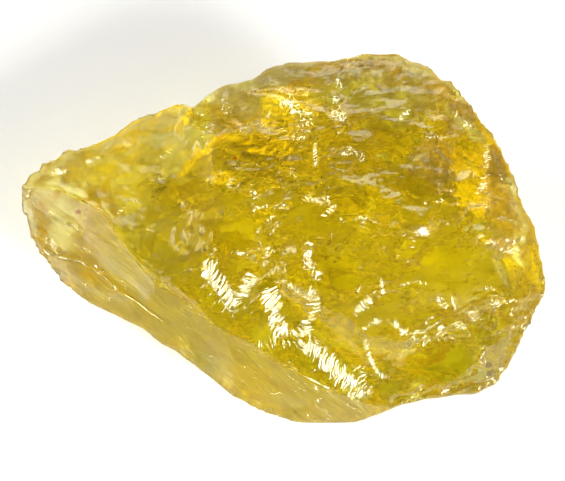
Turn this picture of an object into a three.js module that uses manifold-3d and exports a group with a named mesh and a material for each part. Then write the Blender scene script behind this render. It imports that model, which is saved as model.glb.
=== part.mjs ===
// Raw topaz: one broken lump of clear yellow crystal that lies on its flattest face.
// Millimetres, +Z up. The long side is along X, the front is the -Y side, and the origin is
// on the table, at the middle of the stone's box.
//
// The stone is drawn as it looks from in front and above, where most of its detail is.
// A corner is [right, up, height]: right and up across that line of sight, from the middle
// of the drawing, and height above the table.
import * as THREE from 'three';
import { ConvexGeometry } from 'three/addons/geometries/ConvexGeometry.js';
import { mergeVertices } from 'three/addons/utils/BufferGeometryUtils.js';
import { ImprovedNoise } from 'three/addons/math/ImprovedNoise.js';
import Module from 'manifold-3d';

const { clamp, degToRad, smoothstep } = THREE.MathUtils;
const wasm = await Module();
wasm.setup();

// Driving dimensions.
const LOOKING_DOWN = 55;          // degrees between the drawing's line of sight and the table
const GIRDLE_HEIGHT = 8;          // the stone's widest line, above the table
const GIRDLE_RISE = 0.28;         // how much higher the widest line is for each mm up
const SHOULDER_END = 2;           // the shoulder's corners lie to the left of this
const BLOCK_START = -14;          // the block's corners lie to the right of this
const MIDDLE = [0, -5.2, 0];      // on the table under the stone's middle, in the drawing
const FAR = 100;                  // longer than the stone in any direction
const CLEAR = 7;                  // how far a bowl-shaped cutter stands out of the stone
const PAST = 1.5;                 // a bowl's arc goes on to this many times its radius
const AROUND = 0.6;               // the stone's facing is read at this share of that radius
const FADE = 1.6;                 // a broken face's relief fades in over this
const RISE = 0.5;                 // and its cutter lifts off this much for each mm outside

// The stone's outline in the drawing, clockwise from the left tip.
const OUTLINE = [
  [-26.2, 3.9], [-26.0, 5.2], [-24.4, 6.8], [-22.0, 8.5], [-18.7, 9.5], [-16.8, 10.3],
  [-14.0, 12.1], [-11.1, 12.9], [-9.9, 13.0], [-9.0, 12.6], [-7.3, 14.0], [-5.7, 15.1],
  [-3.2, 15.5], [-0.9, 17.0], [1.2, 17.4], [2.0, 17.2], [5.5, 17.5], [7.7, 18.0],
  [9.0, 18.4], [10.6, 18.4], [11.6, 18.3], [12.8, 17.5], [14.8, 16.9], [15.7, 15.5],
  [16.9, 15.5], [18.8, 13.3], [19.9, 11.3], [21.1, 10.2], [22.1, 8.2], [23.3, 5.4],
  [23.9, 2.7], [25.1, 0.8], [25.8, -3.1], [26.3, -4.7], [26.0, -5.6], [24.2, -9.1],
  [22.2, -12.9], [21.1, -14.4], [19.1, -15.4], [17.1, -15.5], [14.2, -15.8], [11.3, -16.6],
  [8.8, -17.6], [6.6, -18.3], [4.2, -18.2], [2.4, -18.3], [0.4, -18.0], [-2.9, -16.7],
  [-5.3, -15.3], [-7.3, -13.5], [-10.1, -11.4], [-11.9, -10.4], [-14.1, -8.7],
  [-17.2, -7.3], [-19.9, -6.0], [-21.7, -4.6], [-22.4, -3.5], [-24.2, -1.4], [-25.1, 0.2],
];

// The ridge between the smooth front bevel and the broken upper face, from left to right.
const SHOULDER_RIDGE = [
  [-24.4, 5.2, 8.8], [-22.3, 4.9, 10.2], [-20.0, 3.7, 11.0], [-17.9, 2.6, 11.4],
  [-16.7, 0.7, 11.4], [-15.3, -1.4, 11.0], [-12.6, -4.6, 10.2],
];
const BLOCK_RIDGE = [
  [-11.1, -5.3, 9.8], [-8.3, -7.5, 9.2], [-4.6, -10.1, 8.6], [1.7, -13.4, 7.6],
  [4.5, -14.8, 6.8], [6.7, -15.6, 6.0], [9.4, -16.8, 4.6],
];

// The broken face's bottom edge on the right: a narrow smooth bevel lies below it.
const LOWER_EDGE = [
  [12.1, -15.6], [14.2, -15.3], [16.8, -14.2], [20.3, -13.3], [20.3, -11.7], [21.8, -10.6],
  [22.9, -9.4], [24.8, -6.7], [25.9, -6.2],
];

// The low shoulder on the left meets the high block on the right along a cliff.
const SHOULDER_TOP = [
  [-16.0, 9.0, 10.8], [-9.0, 10.0, 11.8], [-7.0, 4.0, 12.2], [-7.5, -1.0, 11.4],
  [-8.0, -6.5, 9.6],
];
const BLOCK_SIDE = [
  [-8.6, 12.6, 10.4], [-9.0, 4.0, 10.0], [-10.5, -2.0, 10.0], [-13.7, -3.4, 10.5],
];
const BLOCK_TOP = [
  [-7.0, 11.4, 13.2], [-4.8, 4.6, 14.6], [-5.2, 0.6, 14.0], [-7.2, -2.6, 12.2],
  [-2.0, 13.6, 14.6], [5.0, 14.6, 15.4], [11.5, 14.8, 15.2], [15.5, 11.0, 14.8],
  [6.0, 4.0, 16.4], [13.0, 3.0, 15.8], [19.4, 4.0, 13.0], [0.0, -4.6, 13.6],
  [8.0, -6.0, 13.2], [16.0, -6.0, 12.2], [22.0, -5.0, 9.8], [13.5, -11.0, 9.6],
  [19.5, -11.4, 7.8],
];

// Corners of the flat face underneath, on the table, as [x, y] in the drawing.
const FOOT = [
  [-17.5, -3.0], [-15.0, -9.0], [-7.5, -16.0], [2.0, -21.0], [12.0, -19.5], [19.0, -17.0],
  [21.5, -9.0], [18.0, -1.0], [13.0, 4.0], [4.0, 6.5], [-6.0, 5.0], [-13.0, 2.5],
];

// Shell-like scoops. Each is struck at a place in its line of sight and is an oval bowl:
// half its short width, its depth, how many times longer than wide it is, and the turn of
// its long side from the right, in degrees.
const BEVEL_SCOOPS = [
  { at: [-21.5, 1.5], radius: 4.2, depth: 1.2, stretch: 1.5, turn: -35 },
  { at: [-17.0, -2.6], radius: 3.6, depth: 1.3, stretch: 2.6, turn: -42 },
  { at: [-10.0, -8.6], radius: 2.8, depth: 1.0, stretch: 3.0, turn: -38 },
  { at: [-1.5, -14.0], radius: 2.8, depth: 0.9, stretch: 2.6, turn: -28 },
];
const SHOULDER_SCOOPS = [
  { at: [-20.0, 6.2], radius: 2.6, depth: 0.5, stretch: 1.4, turn: 15 },
  { at: [-16.8, 8.8], radius: 1.6, depth: 0.5, stretch: 1.5, turn: 60 },
  { at: [-12.0, 11.0], radius: 2.0, depth: 0.7, stretch: 1.2, turn: 0 },
  { at: [-11.0, 7.4], radius: 2.8, depth: 0.9, stretch: 1.1, turn: 20 },
  { at: [-14.6, 3.6], radius: 3.0, depth: 0.8, stretch: 1.3, turn: 60 },
  { at: [-10.8, 0.6], radius: 2.6, depth: 0.8, stretch: 1.3, turn: 70 },
];
const FACE_SCOOPS = [
  { at: [-5.4, -4.8], radius: 3.8, depth: 1.5, stretch: 1.1, turn: 0 },
  { at: [0.8, -7.6], radius: 3.8, depth: 1.4, stretch: 1.15, turn: -20 },
  { at: [5.2, -11.6], radius: 2.6, depth: 1.0, stretch: 1.8, turn: -50 },
  { at: [9.6, -12.2], radius: 2.4, depth: 0.9, stretch: 1.5, turn: -70 },
  { at: [15.2, -12.2], radius: 2.4, depth: 0.5, stretch: 1.7, turn: 6 },
];
const SMOOTH_PANES = [
  { at: [-3.3, 9.2], radius: 1.5, depth: 0.35, stretch: 1.5, turn: 0 },
  { at: [11.2, 13.6], radius: 1.5, depth: 0.35, stretch: 1.3, turn: 20 },
  { at: [12.8, 4.0], radius: 1.8, depth: 0.4, stretch: 1.2, turn: 30 },
  { at: [17.8, 7.6], radius: 2.2, depth: 0.5, stretch: 1.3, turn: 60 },
  { at: [22.6, -2.6], radius: 1.6, depth: 0.5, stretch: 1.6, turn: 80 },
];
const BACK_SCOOPS = [
  { at: [10.5, 5.5], radius: 3.6, depth: 1.1, stretch: 1.3, turn: 25 },
  { at: [2.0, 7.5], radius: 4.2, depth: 1.3, stretch: 1.3, turn: -20 },
  { at: [-8.0, 6.0], radius: 4.6, depth: 1.4, stretch: 1.2, turn: 40 },
  { at: [-17.0, 8.0], radius: 3.2, depth: 1.0, stretch: 1.3, turn: -30 },
];
const LEFT_SCOOPS = [
  { at: [2.0, 4.0], radius: 3.0, depth: 0.9, stretch: 1.4, turn: 10 },
  { at: [-7.0, 3.2], radius: 2.6, depth: 0.8, stretch: 1.5, turn: -10 },
];
const FRONT_SCOOPS = [
  { at: [-13.0, 2.4], radius: 1.8, depth: 0.5, stretch: 2.0, turn: 5 },
  { at: [0.0, 1.8], radius: 1.6, depth: 0.4, stretch: 2.4, turn: -5 },
  { at: [13.0, 2.2], radius: 1.7, depth: 0.5, stretch: 2.2, turn: 8 },
];
const RIGHT_SCOOPS = [
  { at: [-6.0, 3.4], radius: 2.8, depth: 0.9, stretch: 1.5, turn: 10 },
  { at: [3.0, 5.4], radius: 3.4, depth: 1.1, stretch: 1.3, turn: 35 },
];

// Unevenness: its strength, its grain along and across, and the layer of noise it is from.
const LEDGE_BEND = { strength: 0.9, along: 6.2, across: 12.5, layer: 3.7 };
const LEDGE_WAVER = { strength: 0.25, along: 2, across: 3.3, layer: 9.1 };
const LEDGE_HEIGHT = { strength: 0.9, along: 8.3, across: 0.32, layer: 5.3 };
const BREAK_DEPTH = { strength: 1, along: 4.2, across: 2.4, layer: 1.3 };
const NET_RIGHT = { strength: 0.8, along: 1.25, across: 1.25, layer: 11.5 };
const NET_UP = { strength: 0.8, along: 1.25, across: 1.25, layer: 23.5 };
const BOWL_SWELL = { strength: 0.38, along: 1, across: 1, layer: 4.3 };
const BOWL_BUMP = { strength: 0.5, along: 0.9, across: 0.7, layer: 7.9 };
const MEAN_LEDGE = 0.6;           // of a ledge's full height
const MEAN_BREAK = 0.5;           // of a break's full depth

const noise = new ImprovedNoise();

function uneven({ strength, along, across, layer }, x, y) {
  return strength * noise.noise(x / along, y / across, layer);
}

// A line of sight: the axes to the right, upwards and towards an observer who stands round
// the stone at an azimuth (0 is in front) and looks down on it at an elevation, and the
// place that is in the middle of what the observer sees.
function lineOfSight(azimuth, elevation, centre = [0, 0, 0]) {
  const round = degToRad(azimuth);
  const lift = degToRad(elevation);
  const right = new THREE.Vector3(Math.cos(round), Math.sin(round), 0);
  const toward = new THREE.Vector3(
    Math.sin(round) * Math.cos(lift),
    -Math.cos(round) * Math.cos(lift),
    Math.sin(lift),
  );
  const up = new THREE.Vector3().crossVectors(toward, right);
  return { right, up, toward, centre: new THREE.Vector3(...centre) };
}

const DRAWN = lineOfSight(0, LOOKING_DOWN);
const BACK = lineOfSight(180, 0, MIDDLE);
const LEFT = lineOfSight(255, 0, MIDDLE);
const FRONT = lineOfSight(-10, 0, MIDDLE);
const RIGHT = lineOfSight(90, 0, MIDDLE);

// The place of a drawn corner at a known height.
function seen([right, up, height]) {
  const forward = (up - height * DRAWN.up.z) / DRAWN.up.y;
  return new THREE.Vector3(right, forward, height);
}

// The outline's corners lie on one slanting plane, the stone's girdle.
function onGirdle([right, up]) {
  return seen([right, up, GIRDLE_HEIGHT + GIRDLE_RISE * up]);
}

// The relief of each broken face: where it is, the size of its facets, how far around it the
// cutter follows the stone, and its ledges' climb to the right in degrees, the gap between
// them, their height, and the depth of the uneven breaks between them.
function reliefs() {
  const start = OUTLINE.findIndex(([right]) => right > SHOULDER_RIDGE[0][0]);
  const end = OUTLINE.findIndex(([, up]) => up < LOWER_EDGE.at(-1)[1]);
  const upper = [
    ...SHOULDER_RIDGE,
    ...BLOCK_RIDGE,
    ...LOWER_EDGE,
    ...OUTLINE.slice(start, end).reverse(),
  ];
  const back = [[-19, 0], [14, 0], [23, 8], [8, 10.5], [0, 12], [-16, 12]];
  const left = [[-14, 0], [4, 0], [12, 8], [4, 9], [-14, 4]];
  const right = [[-16, 0], [4, 0], [14, 10], [4, 9], [-16, 4]];
  const upperFace = {
    sight: DRAWN, facet: 1.15, reach: 2.4, climb: 14, gap: 3.1, drop: 1.3, hack: 0.8,
  };
  const sideFace = { facet: 1.7, reach: 0, gap: 4.0, drop: 1.1, hack: 1.2 };
  return [
    { ...upperFace, edge: upper },
    { ...sideFace, sight: BACK, edge: back, climb: -12, drop: 1.3 },
    { ...sideFace, sight: LEFT, edge: left, climb: 8 },
    { ...sideFace, sight: RIGHT, edge: right, climb: 20 },
  ];
}

// How far a place in the drawing is inside a closed line, or a negative gap outside it.
function depthInside(line, right, up) {
  let gap = FAR;
  let inside = false;
  line.forEach(([x0, y0], index) => {
    const [x1, y1] = line[(index + 1) % line.length];
    const [dx, dy] = [x1 - x0, y1 - y0];
    const share = ((right - x0) * dx + (up - y0) * dy) / (dx * dx + dy * dy);
    const held = clamp(share, 0, 1);
    gap = Math.min(gap, Math.hypot(x0 + held * dx - right, y0 + held * dy - up));
    if ((y0 > up) !== (y1 > up) && right < x0 + dx * (up - y0) / dy) inside = !inside;
  });
  return inside ? gap : -gap;
}

// A closed surface as a solid for joining and cutting.
function solid(geometry) {
  const bare = geometry.clone();
  bare.deleteAttribute('normal');
  bare.deleteAttribute('uv');
  const merged = mergeVertices(bare, 1e-5);
  const corners = merged.index.array;
  const kept = [];
  for (let first = 0; first < corners.length; first += 3) {
    const [a, b, c] = corners.slice(first, first + 3);
    if (a !== b && b !== c && c !== a) kept.push(a, b, c);
  }
  return new wasm.Manifold(new wasm.Mesh({
    numProp: 3,
    vertProperties: new Float32Array(merged.attributes.position.array),
    triVerts: new Uint32Array(kept),
  }));
}

function geometryOf(shape) {
  const mesh = shape.getMesh();
  const geometry = new THREE.BufferGeometry();
  geometry.setAttribute('position', new THREE.BufferAttribute(mesh.vertProperties, 3));
  geometry.setIndex(new THREE.BufferAttribute(mesh.triVerts, 1));
  return geometry;
}

// The lump before anything is broken off: a shoulder and a block, trimmed to the outline.
function blank() {
  const foot = FOOT.map(([x, y]) => new THREE.Vector3(x, y, 0));
  const shoulder = solid(new ConvexGeometry([
    ...OUTLINE.filter(([right]) => right < SHOULDER_END).map(onGirdle),
    ...SHOULDER_RIDGE.map(seen),
    ...SHOULDER_TOP.map(seen),
    ...foot.filter((corner) => corner.x < SHOULDER_END),
  ]));
  const block = solid(new ConvexGeometry([
    ...OUTLINE.filter(([right]) => right > BLOCK_START).map(onGirdle),
    ...BLOCK_RIDGE.map(seen),
    ...BLOCK_SIDE.map(seen),
    ...BLOCK_TOP.map(seen),
    ...foot,
  ]));
  const shape = new THREE.Shape(OUTLINE.map(([right, up]) => new THREE.Vector2(right, up)));
  const prism = new THREE.ExtrudeGeometry(shape, { depth: 2 * FAR, bevelEnabled: false });
  prism.translate(0, 0, -FAR);
  prism.applyMatrix4(new THREE.Matrix4().makeBasis(DRAWN.right, DRAWN.up, DRAWN.toward));
  return shoulder.add(block).intersect(solid(prism));
}

function meshOf(stone) {
  return new THREE.Mesh(geometryOf(stone), new THREE.MeshBasicMaterial());
}

// What an observer's line of sight meets first at a place across it.
function firstHit(mesh, sight, right, up) {
  const start = sight.centre.clone()
    .addScaledVector(sight.right, right)
    .addScaledVector(sight.up, up)
    .addScaledVector(sight.toward, FAR);
  const caster = new THREE.Raycaster(start, sight.toward.clone().negate());
  return caster.intersectObject(mesh)[0];
}

// How deep a face is broken at a place: ledges, with uneven breaks between them.
function breakDepth({ climb, gap, drop, hack }, right, up) {
  const turn = degToRad(climb);
  const across = up * Math.cos(turn) - right * Math.sin(turn);
  const along = right * Math.cos(turn) + up * Math.sin(turn);
  const bend = uneven(LEDGE_BEND, along, across) + uneven(LEDGE_WAVER, along, across);
  const row = across / gap + bend;
  const height = clamp(MEAN_LEDGE + uneven(LEDGE_HEIGHT, along, Math.floor(row)), 0, 1);
  const rough = clamp(MEAN_BREAK + uneven(BREAK_DEPTH, along, across), 0, 1);
  return drop * height * (row - Math.floor(row)) + hack * rough;
}

// Breaks one face. The cutter's underside is the broken face, as a net of uneven facets. It
// lifts off the stone within its reach outside the face, and stands clear of it further out.
function breakFace(stone, relief) {
  const { sight, edge, facet, reach } = relief;
  const mesh = meshOf(stone);
  const bounds = new THREE.Box2().setFromPoints(edge.map(([x, y]) => new THREE.Vector2(x, y)));
  const size = bounds.getSize(new THREE.Vector2());
  const middle = bounds.getCenter(new THREE.Vector2());
  const columns = Math.ceil(size.x / facet) + 2;
  const rows = Math.ceil(size.y / facet) + 2;
  const cutter = new THREE.BoxGeometry(columns * facet, rows * facet, FAR, columns, rows, 1);
  const corners = cutter.attributes.position;
  for (let index = 0; index < corners.count; index += 1) {
    const x = corners.getX(index) + middle.x;
    const y = corners.getY(index) + middle.y;
    const right = x + facet * uneven(NET_RIGHT, x, y);
    const up = y + facet * uneven(NET_UP, x, y);
    const inside = depthInside(edge, right, up) - facet;
    const hit = inside > -reach && firstHit(mesh, sight, right, up);
    const surface = hit ? FAR - hit.distance : FAR / 2;
    const depth = smoothstep(inside, 0, FADE) * breakDepth(relief, right, up);
    const floor = surface - depth + RISE * Math.max(0, -inside);
    corners.setXYZ(index, right, up, corners.getZ(index) < 0 ? floor : FAR);
  }
  cutter.applyMatrix4(new THREE.Matrix4()
    .makeBasis(sight.right, sight.up, sight.toward)
    .setPosition(sight.centre));
  return stone.subtract(solid(cutter));
}

// Where a line of sight meets the stone, and the way the surface faces around there.
function struckPlace(mesh, sight, [right, up], spread) {
  const facing = new THREE.Vector3();
  for (let angle = 0; angle < 2 * Math.PI; angle += Math.PI / 4) {
    const [across, over] = [spread * Math.cos(angle), spread * Math.sin(angle)];
    const hit = firstHit(mesh, sight, right + across, up + over);
    if (hit) facing.add(hit.face.normal);
  }
  return { place: firstHit(mesh, sight, right, up).point, facing: facing.normalize() };
}

// A bowl that opens along +Z: its floor is an uneven arc that meets z = 0 at the radius and
// goes on past it.
function bowl({ at, radius, depth, stretch }) {
  const rings = 4 + Math.round(radius / 3);
  const sides = 12 + 2 * Math.round(radius);
  const sphere = (radius * radius + depth * depth) / (2 * depth);
  const past = Math.min(PAST * radius, 0.95 * sphere);
  const profile = [];
  for (let ring = 0; ring <= rings; ring += 1) {
    const out = past * ring / rings;
    profile.push(new THREE.Vector2(out, sphere - depth - Math.sqrt(sphere ** 2 - out ** 2)));
  }
  profile.push(new THREE.Vector2(past, CLEAR), new THREE.Vector2(0, CLEAR));
  const cutter = new THREE.LatheGeometry(profile, sides);
  cutter.rotateX(Math.PI / 2);
  const corners = cutter.attributes.position;
  for (let index = 0; index < corners.count; index += 1) {
    const [x, y] = [corners.getX(index) / radius, corners.getY(index) / radius];
    const swell = radius * (1 + uneven(BOWL_SWELL, x + at[0], y + at[1]));
    const bump = depth * uneven(BOWL_BUMP, x + at[1], y + at[0]);
    const z = corners.getZ(index);
    corners.setXYZ(index, x * swell * stretch, y * swell, z < CLEAR ? z + bump : z);
  }
  return cutter;
}

// Scoops bowls out of the stone. Each bowl opens the way the surface faces around its place,
// with its long side to the observer's right, turned by its angle.
function scoopOut(stone, sight, scoops) {
  const mesh = meshOf(stone);
  let left = stone;
  for (const scoop of scoops) {
    const { place, facing } = struckPlace(mesh, sight, scoop.at, AROUND * scoop.radius);
    const across = new THREE.Vector3().crossVectors(facing, sight.right).normalize();
    const along = new THREE.Vector3().crossVectors(across, facing);
    const cutter = bowl(scoop).rotateZ(degToRad(scoop.turn));
    cutter.applyMatrix4(new THREE.Matrix4().makeBasis(along, across, facing).setPosition(place));
    left = left.subtract(solid(cutter));
  }
  return left;
}

let stone = blank();
for (const relief of reliefs()) stone = breakFace(stone, relief);
stone = scoopOut(stone, BACK, BACK_SCOOPS);
stone = scoopOut(stone, LEFT, LEFT_SCOOPS);
stone = scoopOut(stone, RIGHT, RIGHT_SCOOPS);
stone = scoopOut(stone, FRONT, FRONT_SCOOPS);
stone = scoopOut(stone, DRAWN, BEVEL_SCOOPS);
stone = scoopOut(stone, DRAWN, SHOULDER_SCOOPS);
stone = scoopOut(stone, DRAWN, FACE_SCOOPS);
stone = scoopOut(stone, DRAWN, SMOOTH_PANES);

const geometry = geometryOf(stone);
geometry.computeBoundingBox();
const { min, max } = geometry.boundingBox;
geometry.translate(-(min.x + max.x) / 2, -(min.y + max.y) / 2, -min.z);

const facets = geometry.toNonIndexed();
facets.computeVertexNormals();

const topaz = new THREE.Mesh(facets, new THREE.MeshStandardMaterial({
  color: 0xd2b840,
  roughness: 0.1,
  metalness: 0,
}));
topaz.name = 'topaz';

const group = new THREE.Group();
group.add(topaz);

export default group;
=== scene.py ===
"""Raw topaz: the looks of one broken lump of clear golden-yellow crystal.

Metres, +Z up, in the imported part's frame. The stone is seen from in front and above, along the
drawing's line of sight. Places on it are (right, up) in millimetres across that line of sight.
"""
import itertools
import math
from types import SimpleNamespace

import bmesh
import bpy
import numpy as np
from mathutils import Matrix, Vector
from mathutils.bvhtree import BVHTree


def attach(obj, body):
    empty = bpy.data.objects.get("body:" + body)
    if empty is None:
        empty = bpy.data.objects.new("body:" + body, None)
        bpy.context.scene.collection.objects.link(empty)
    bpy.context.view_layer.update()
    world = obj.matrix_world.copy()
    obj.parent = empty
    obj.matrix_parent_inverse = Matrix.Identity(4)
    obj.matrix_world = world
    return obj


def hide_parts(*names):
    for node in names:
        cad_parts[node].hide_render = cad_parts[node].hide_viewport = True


MM = 0.001
FAR = 1e9  # mm, further than anything on the stone

# The camera: far off, with a long lens, at the photograph's viewing angle.
LOOKING_DOWN = math.radians(55)
CAMERA_DISTANCE = 0.7
CAMERA_AIM = Vector((-0.04, -0.85, 8.41)) * MM
CLIP_START = 0.01
SENSOR_WIDTH = 36.0
LENS = 448.6

RIGHT = np.array((1.0, 0.0, 0.0))
UP = np.array((0.0, math.sin(LOOKING_DOWN), math.cos(LOOKING_DOWN)))
TOWARD = np.array((0.0, -math.cos(LOOKING_DOWN), math.sin(LOOKING_DOWN)))
DRAWING_TOP = 18.4  # how far up the stone reaches in the drawing

# The lights: azimuth and elevation in degrees, distance and side in metres, and power in watts.
# The cleavage steps catch the key light: they face halfway between it and the camera.
LIGHTS = {
    "key": (43, 19, 0.6, 0.28, 10.6),
    "fill": (-78, 32, 0.7, 0.6, 8.0),
    "back": (170, 14, 0.7, 0.5, 2.4),
}
# Other faces that would mirror a light are turned away: within which angle, and how strongly.
KEY_TURN = (0.4, 0.32)
FILL_TURN = (0.5, 0.3)
WHOLE_TURN = 0.4  # of that angle, within which they turn all the way
TURN_SPLIT = -0.1  # the cosine on whose two sides faces turn opposite ways
TURN_BLEND = 0.04  # of cosine, over which those two ways meet

SKY_COLOUR = (0.95, 0.97, 1.0)
SKY_STRENGTH = 0.05
FLOOR_SIDE = 4
FLOOR_COLOUR = (0.86, 0.86, 0.85)
FLOOR_ROUGHNESS = 0.8

# The stone's net: its squares' side, which is halved on the side that the drawing shows, and
# again at the bands of cleavage steps, the ridges and the specks.
WELD = 1e-6
NET = 0.4 * MM
RIDGE_WIDTH = 0.5  # mm
SPECK_MARGIN = 0.3  # mm round a speck
FINE_MARGIN = 0.1  # mm round all of these
SOFTENING = 0.5
SOFTENING_ROUNDS = 12
WINDOW_ROUNDS = 40
OUTLINE_ROUNDS = 4
LEAST_SOFTENING = 0.06
SHARP_RIDGE = (0.3, 1.0)  # mm off the bevel's edge, where softening starts and is whole
RAY_START = 0.05  # mm inside
THICKEST = 50.0  # mm, where a ray meets nothing

# From and to which cosine faces count as in sight, well in sight, out of sight and downward.
SEEN = (-0.1, 0.3)
SEEN_WELL = (0.1, 0.35)
HIDDEN = (-0.25, 0.15)
DOWNWARD = (0.6, 0.95)
STEEPEST = 0.2  # the cosine past which a face leans no more
# The mm through the stone from which it is softened and, with a minus sign, has a rim's looks.
SOLID = (1.5, 4.0)
RIM = (-6.0, -1.5)
DEEPEST = 0.28  # of the way through the stone that breaks may cut in

# The stone's look.
REFRACTION = 1.62
GLINT_TINT = (0.95, 1.0, 0.8)
DEPTH_COLOUR = (0.967, 0.921, 0.0)
DEPTH_DENSITY = 180.0

PALE_TINT = np.array((1.0, 0.95, 0.78))
GOLDEN_TINT = np.array((1.0, 0.98, 0.4))
TAN_TINT = np.array((1.0, 0.88, 0.62))
RIM_TINT = np.array((0.84, 0.78, 0.66))
LEMON_TINT = np.array((1.0, 1.0, 0.12))
# What the bevel takes from the light: everywhere, and more of each colour at its pointed end.
BEVEL_SHADE = 0.1
TIP_SHADE = np.array((0.13, 0.2, 0.2))
TIP = (12.0, 18.0)  # mm to the left, where the pointed end starts and is whole
# How strongly each colour dims where less light comes through: in the pale patches, and as
# painted shade in the windows and the painted shade zones.
DIMMING_POWERS = (1, 1.2, 2.2)

# The surface's roughness: everywhere, what kinds of places add, and in special places.
FROST = 0.2
FROST_ADDED = {"bevel": 0.24, "crumpled": 0.12, "lower": 0.06, "clear": -0.1}
HIDDEN_FROST = 0.32
RIM_FROST = 0.4
UNDERSIDE_FROST = 0.3
FROST_LIMITS = (0.08, 0.5)
STEP_FROST = 0.192

# Noise in the shape and tints: the seed, the strength, the grain per mm, the layers and how
# strong each is next to the one before.
NOISES = {
    "ledges": (11, 1.2, (0.18, 0.4, 0.2), 3, 0.5),
    "fine ledges": (13, 1.5, (0.432, 0.96, 0.48), 3, 0.5),
    "hidden ledges": (18, 1.3, 0.16, 3, 0.5),
    "crumple": (15, 0.6, 0.3, 3, 0.4),
    "grain": (16, 0.05, 1.1, 2, 0.5),
    "ribs": (17, 0.12, (0.08, 0.55, 1.0), 2, 0.5),
    "foil": (23, 0.32, 0.6, 3, 0.5),
    "worn": (21, 1.0, (0.2, 0.26, 0.2), 4, 0.42),
    "rough patches": (22, 1.0, 0.22, 3, 0.6),
    "ragged ridges": (24, 0.45, 0.9, 3, 0.6),
    "ragged bands": (31, 0.45, 0.9, 3, 0.6),
    "waver right": (32, 0.07, 1.3, 3, 0.6),
    "waver up": (33, 0.07, 1.3, 3, 0.6),
    "hackle wander": (34, 0.3, 0.7, 2, 0.5),
    "ragged patches": (41, 0.4, 0.7, 4, 0.7),
}
# Noise in the material: what its places are stretched by, the scale, the detail and the kind.
TEXTURES = {
    "wander": ((0.3, 0.7, 0.4), 1.0, 3, "FBM"),
    "chips": ((0.9, 1.6, 0.9), 1.0, 2, "FBM"),
    "grain": (None, 1.1, 3, "RIDGED_MULTIFRACTAL"),
    "foil": (None, 0.55, 5, "RIDGED_MULTIFRACTAL"),
    "veins": ((0.35, 1.6, 0.5), 1.0, 5, "FBM"),
    "strands": ((1.1, 2.4, 1.0), 1.0, 4, "RIDGED_MULTIFRACTAL"),
    "grooves": (None, 1.0, 1, "FBM"),
    "curls": (None, 2.0, 2, "FBM"),
    "threads": ((0.22, 0.8, 0.3), 1.0, 3, "FBM"),
}
# Shades in the material's colour: painted shade under ledges, in folds and beside the bevel's
# veins, where the fine relief is low, and a darker colour between strands of film. From and to
# what share they come in, and what they multiply by.
SHADES = {
    "steps": (0.35, 0.85, (0.78, 0.75, 0.6)),
    "film": (0.2, 0.8, (0.78, 0.74, 0.5)),
    "folds": (0.3, 0.75, (0.8, 0.76, 0.6)),
    "veins": (0.42, 0.62, (0.82, 0.8, 0.68)),
}
# The heights in mm that the material's fine relief has.
LEDGE_BUMP = 0.24
GRAIN_BUMP = 0.04
FOIL_BUMP = 0.3
STREAK_BUMP = 0.16
BUMP_ROW = 0.55  # mm from one fine ledge to the next
BUMP_WANDER = 5.0  # how many rows the fine ledges stray over
# The contrast and level of the grooves, and the height and sharpness of thin lines.
GROOVE_CONTRAST = 9.5
GROOVE_LEVEL = 4.15
CURL_LINES = (1.7, 22.0)
THREAD_LINES = (0.8, 44.0)
# How strong scattered curls are, and the start, the gain and the most of the flashing.
SCATTERED_CURLS = 0.62
FLASH_START = 0.5
FLASH_GAIN = 2.0
FLASH_MOST = 0.92
# What the material reads at each point, by the output that has it.
POINT_VALUES = {
    "Fac": (
        "frost", "rough", "ledged", "stepped", "crinkled", "bevel", "crumpled", "film", "bright",
    ),
    "Vector": ("lay", "hackles", "ribs", "turned"),
    "Color": ("tint",),
}
# A Mix node's first input, second input and output.
MIX_SOCKETS = {"VECTOR": (4, 5, 1), "RGBA": (6, 7, 2)}

# The drawing's grid, in mm, and how many of its cells make a coarse one.
CELL = 0.1
GRID_RIGHT = np.arange(-30.0, 30.0, CELL)
GRID_UP = np.arange(-22.0, 22.0, CELL)
COARSE = 4
FRONT_LAYER = 1.0  # points further behind the front ones are out of sight
LEAN_BLUR = 0.35
OUTLINE_BLUR = 0.5
STEP_REACH = 1.6  # steps sink back into the face around them within this
# The ways that the ledges and the bevel's ribs run in the drawing.
LEDGE_WAY = (math.cos(math.radians(14)), math.sin(math.radians(14)))
RIB_WAY = (0.78, -0.62)
# The width of a row of ledges in mm: coarse, fine, and out of sight.
LEDGE_ROW = 1.7
FINE_LEDGE_ROW = 0.62
HIDDEN_LEDGE_ROW = 1.9
HIDDEN_LEDGE_TILT = 0.14  # rows climbed per mm to the right
HACKLE = 0.12  # mm between the fine grooves across a band
HACKLE_SLANT = 0.5  # how far the grooves lean along the band, per mm across it
HACKLE_APART = 9.0  # between the noise of one band and the next

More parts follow.
